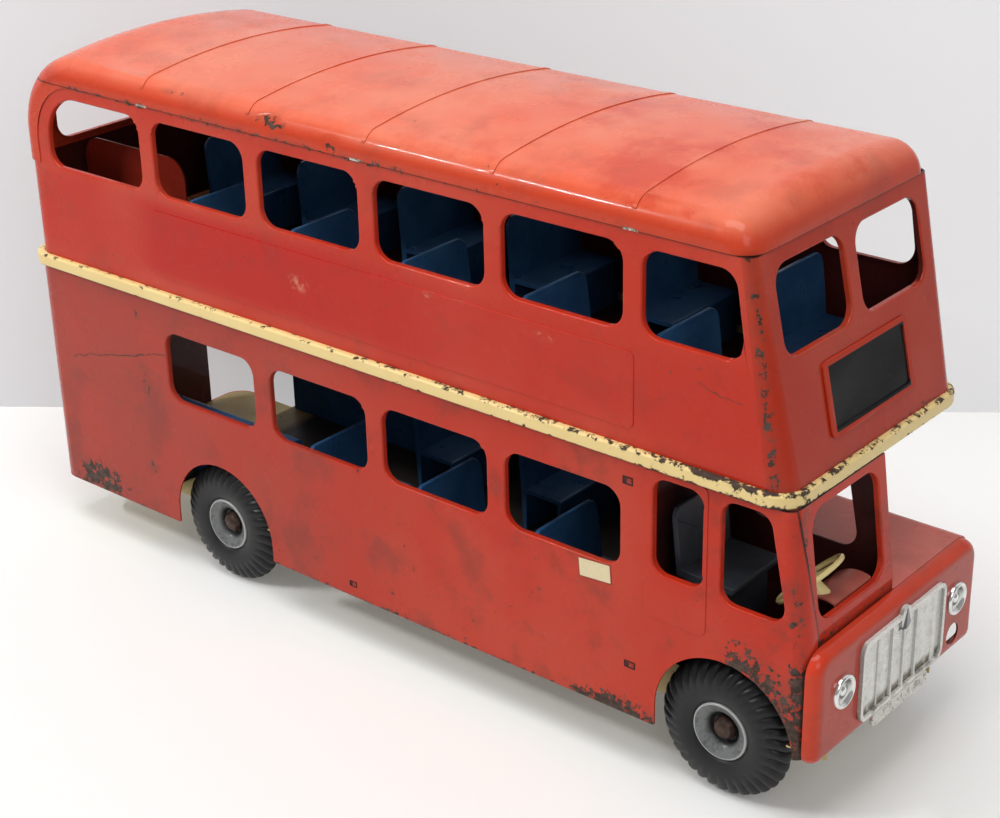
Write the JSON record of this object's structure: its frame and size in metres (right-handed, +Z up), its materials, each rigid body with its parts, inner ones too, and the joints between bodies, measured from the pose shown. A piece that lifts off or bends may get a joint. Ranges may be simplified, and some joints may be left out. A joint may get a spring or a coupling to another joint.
{
  "type": "toy double-decker bus",
  "caption": "Pressed-steel toy double-decker bus with a half cab, open windows, waist band, ribbed roof, rear platform, seats and free-turning wheels.",
  "frame": {"origin": "on the floor below the middle of the overall length and width", "axes": "+X to the front of the bus, +Y to its own left (platform side), +Z up"},
  "size_m": [0.58, 0.167, 0.3207],
  "materials": {
    "red_paint": "gloss enamel, worn",
    "roof_paint": "faded gloss enamel",
    "cream_paint": "chipped enamel",
    "chassis_khaki": "satin enamel",
    "inner_maroon": "dull enamel",
    "seat_blue": "satin enamel",
    "driver_seat_grey": "satin enamel",
    "steering_cream": "satin",
    "silvered_plate": "tarnished silver plate",
    "lamp_chrome": "bright",
    "blind_black": "gloss",
    "hub_grey": "dull",
    "axle_steel": "browned steel",
    "tyre_rubber": "matte"
  },
  "bodies": {
    "bus_body": {"bench_left": "seat_blue", "bench_right": "seat_blue", "bonnet": "red_paint", "bulkhead": "inner_maroon", "cab_floor": "inner_maroon", "cab_front": "red_paint", "cab_left_wall": "inner_maroon", "chassis_floor": "chassis_khaki", "column_cover": "red_paint", "destination_box": "blind_black", "driver_seat": "driver_seat_grey", "front_axle": "axle_steel", "grille": "silvered_plate", "headlamp_left": "lamp_chrome", "headlamp_right": "lamp_chrome", "lower_rear_panel": "red_paint", "lower_seat_left_1": "seat_blue", "lower_seat_left_2": "seat_blue", "lower_seat_left_3": "seat_blue", "lower_seat_right_1": "seat_blue", "lower_seat_right_2": "seat_blue", "lower_seat_right_3": "seat_blue", "lower_side_left": "red_paint", "lower_side_right": "red_paint", "nose_panel": "red_paint", "number_plate": "silvered_plate", "rear_axle": "axle_steel", "rear_platform": "chassis_khaki", "roof": "roof_paint", "stair_guard": "red_paint", "steering_column": "steering_cream", "steering_wheel": "steering_cream", "upper_floor": "inner_maroon", "upper_front": "red_paint", "upper_rear": "red_paint", "upper_seat_left_0": "seat_blue", "upper_seat_left_1": "seat_blue", "upper_seat_left_2": "seat_blue", "upper_seat_left_3": "seat_blue", "upper_seat_left_4": "seat_blue", "upper_seat_left_5": "seat_blue", "upper_seat_right_1": "seat_blue", "upper_seat_right_2": "seat_blue", "upper_seat_right_3": "seat_blue", "upper_seat_right_4": "seat_blue", "upper_seat_right_5": "seat_blue", "upper_side_left": "red_paint", "upper_side_right": "red_paint", "waist_band": "cream_paint"},
    "wheel_front_left": {"tyre_front_left": "tyre_rubber", "hub_front_left": "hub_grey"},
    "wheel_front_right": {"tyre_front_right": "tyre_rubber", "hub_front_right": "hub_grey"},
    "wheel_rear_left": {"tyre_rear_left": "tyre_rubber", "hub_rear_left": "hub_grey"},
    "wheel_rear_right": {"tyre_rear_right": "tyre_rubber", "hub_rear_right": "hub_grey"}
  },
  "joints": [
    {"name": "wheel_front_left_spin", "type": "hinge", "parent": "bus_body", "child": "wheel_front_left", "pos_m": [0.2278, 0.0658, 0.0385], "axis": [0, 1, 0], "continuous": true},
    {"name": "wheel_front_right_spin", "type": "hinge", "parent": "bus_body", "child": "wheel_front_right", "pos_m": [0.2278, -0.0658, 0.0385], "axis": [0, 1, 0], "continuous": true},
    {"name": "wheel_rear_left_spin", "type": "hinge", "parent": "bus_body", "child": "wheel_rear_left", "pos_m": [-0.135, 0.0658, 0.0385], "axis": [0, 1, 0], "continuous": true},
    {"name": "wheel_rear_right_spin", "type": "hinge", "parent": "bus_body", "child": "wheel_rear_right", "pos_m": [-0.135, -0.0658, 0.0385], "axis": [0, 1, 0], "continuous": true}
  ]
}
